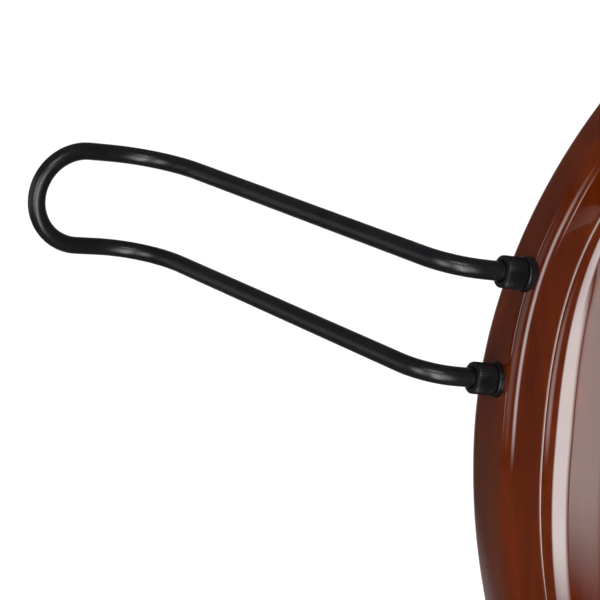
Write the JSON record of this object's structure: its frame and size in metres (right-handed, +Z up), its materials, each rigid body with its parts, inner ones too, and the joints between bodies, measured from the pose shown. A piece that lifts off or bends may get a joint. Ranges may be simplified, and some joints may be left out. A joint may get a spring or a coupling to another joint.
{
  "type": "electric upright bass",
  "caption": "Solid-bodied electric upright bass with an endpin and a bent-rod body rest, clamped in the side of the upper bout by knurled lock nuts",
  "frame": {"origin": "Middle of the endpin tip's flat foot, where the instrument meets the floor", "axes": "+Z up along the neck; +X to the right seen from the front; the front, with the strings, faces -Y"},
  "size_m": [0.4649, 0.308, 1.711],
  "materials": {
    "lacquered_maple": "Glossy translucent red-brown lacquer over plain maple",
    "ebony": "Oiled ebony, fine dark grain",
    "bridge_maple": "Plain unvarnished maple",
    "black_steel": "Satin-gloss black coated steel",
    "black_plastic": "Satin black moulded plastic",
    "rubber": "Black rubber",
    "steel": "Bright nickel-plated steel",
    "nylon": "Natural nylon",
    "board_green": "Green glass-fibre circuit board",
    "battery_shell": "Printed metal battery can, plain dark grey"
  },
  "bodies": {
    "instrument": {"battery": "battery_shell", "body": "lacquered_maple", "bridge": "bridge_maple", "collet_lower": "nylon", "collet_upper": "nylon", "control_cover": "black_plastic", "cover_screw_lower": "steel", "cover_screw_upper": "steel", "endpin_collar": "black_steel", "fingerboard": "ebony", "lead_grommet": "rubber", "neck": "lacquered_maple", "neck_bolt_lower_left": "steel", "neck_bolt_lower_right": "steel", "neck_bolt_upper_left": "steel", "neck_bolt_upper_right": "steel", "neck_plate": "black_steel", "output_jack": "black_steel", "pickup_lead": "rubber", "piezo_pickup_bass": "black_plastic", "piezo_pickup_treble": "black_plastic", "preamp_board": "board_green", "saddle": "ebony", "socket_lower": "black_steel", "socket_upper": "black_steel", "string_a": "steel", "string_d": "steel", "string_e": "steel", "string_g": "steel", "tail_wire": "steel", "tailpiece": "ebony", "tone_pot": "steel", "top_nut": "ebony", "tuner_plate_a": "black_steel", "tuner_plate_d": "black_steel", "tuner_plate_e": "black_steel", "tuner_plate_g": "black_steel", "volume_pot": "steel"},
    "body_rest": {"body_rest_arm": "black_steel"},
    "lock_nut_upper": {"lock_nut_upper": "black_steel"},
    "lock_nut_lower": {"lock_nut_lower": "black_steel"},
    "endpin": {"endpin_rod": "steel", "endpin_tip": "rubber"},
    "endpin_thumbscrew": {"endpin_screw": "black_steel"},
    "key_e": {"tuner_key_e": "black_steel"},
    "post_e": {"tuner_post_e": "steel", "tuner_gear_e": "steel"},
    "key_g": {"tuner_key_g": "black_steel"},
    "post_g": {"tuner_post_g": "steel", "tuner_gear_g": "steel"},
    "key_a": {"tuner_key_a": "black_steel"},
    "post_a": {"tuner_post_a": "steel", "tuner_gear_a": "steel"},
    "key_d": {"tuner_key_d": "black_steel"},
    "post_d": {"tuner_post_d": "steel", "tuner_gear_d": "steel"},
    "volume_knob": {"volume_knob": "black_plastic"},
    "tone_knob": {"tone_knob": "black_plastic"},
    "battery_door": {"battery_door": "black_plastic"}
  },
  "joints": [
    {"name": "body_rest_slide", "type": "slide", "parent": "instrument", "child": "body_rest", "axis": [-0.9799, 0, 0.1994], "range_m": [0, 0.03]},
    {"name": "lock_nut_upper_turn", "type": "hinge", "parent": "instrument", "child": "lock_nut_upper", "pos_m": [-0.10148, 0, 0.942], "axis": [-0.9799, 0, 0.1994], "continuous": true},
    {"name": "lock_nut_lower_turn", "type": "hinge", "parent": "instrument", "child": "lock_nut_lower", "pos_m": [-0.11506, 0, 0.88761], "axis": [-0.9799, 0, 0.1994], "continuous": true},
    {"name": "endpin_slide", "type": "slide", "parent": "instrument", "child": "endpin", "axis": [0, 0, -1], "range_m": [-0.1, 0.12]},
    {"name": "endpin_screw_turn", "type": "hinge", "parent": "instrument", "child": "endpin_thumbscrew", "pos_m": [0, 0, 0.1422], "axis": [0, -1, 0], "continuous": true},
    {"name": "key_e_turn", "type": "hinge", "parent": "instrument", "child": "key_e", "pos_m": [-0.0296, -0.016, 1.5284], "axis": [0, -1, 0], "continuous": true},
    {"name": "post_e_turn", "type": "hinge", "parent": "instrument", "child": "post_e", "pos_m": [-0.023, -0.016, 1.5423], "axis": [-1, 0, 0], "continuous": true},
    {"name": "key_g_turn", "type": "hinge", "parent": "instrument", "child": "key_g", "pos_m": [0.0296, -0.016, 1.5574], "axis": [0, -1, 0], "continuous": true},
    {"name": "post_g_turn", "type": "hinge", "parent": "instrument", "child": "post_g", "pos_m": [0.023, -0.016, 1.5713], "axis": [1, 0, 0], "continuous": true},
    {"name": "key_a_turn", "type": "hinge", "parent": "instrument", "child": "key_a", "pos_m": [-0.0296, -0.016, 1.5864], "axis": [0, -1, 0], "continuous": true},
    {"name": "post_a_turn", "type": "hinge", "parent": "instrument", "child": "post_a", "pos_m": [-0.023, -0.016, 1.6003], "axis": [-1, 0, 0], "continuous": true},
    {"name": "key_d_turn", "type": "hinge", "parent": "instrument", "child": "key_d", "pos_m": [0.0296, -0.016, 1.6154], "axis": [0, -1, 0], "continuous": true},
    {"name": "post_d_turn", "type": "hinge", "parent": "instrument", "child": "post_d", "pos_m": [0.023, -0.016, 1.6293], "axis": [1, 0, 0], "continuous": true},
    {"name": "volume_turn", "type": "hinge", "parent": "instrument", "child": "volume_knob", "pos_m": [0.1289, 0.002, 0.388], "axis": [1, 0, 0], "range_deg": [-150, 150]},
    {"name": "tone_turn", "type": "hinge", "parent": "instrument", "child": "tone_knob", "pos_m": [0.12995, 0.002, 0.354], "axis": [1, 0, 0], "range_deg": [-150, 150]},
    {"name": "battery_door_hinge", "type": "hinge", "parent": "instrument", "child": "battery_door", "pos_m": [-0.078, 0.022, 0.33675], "axis": [-1, 0, 0], "range_deg": [0, 100]}
  ],
  "couplings": [
    {"joint": "post_e_turn", "follows": "key_e_turn", "ratio": -0.071429},
    {"joint": "post_g_turn", "follows": "key_g_turn", "ratio": -0.071429},
    {"joint": "post_a_turn", "follows": "key_a_turn", "ratio": -0.071429},
    {"joint": "post_d_turn", "follows": "key_d_turn", "ratio": -0.071429}
  ]
}
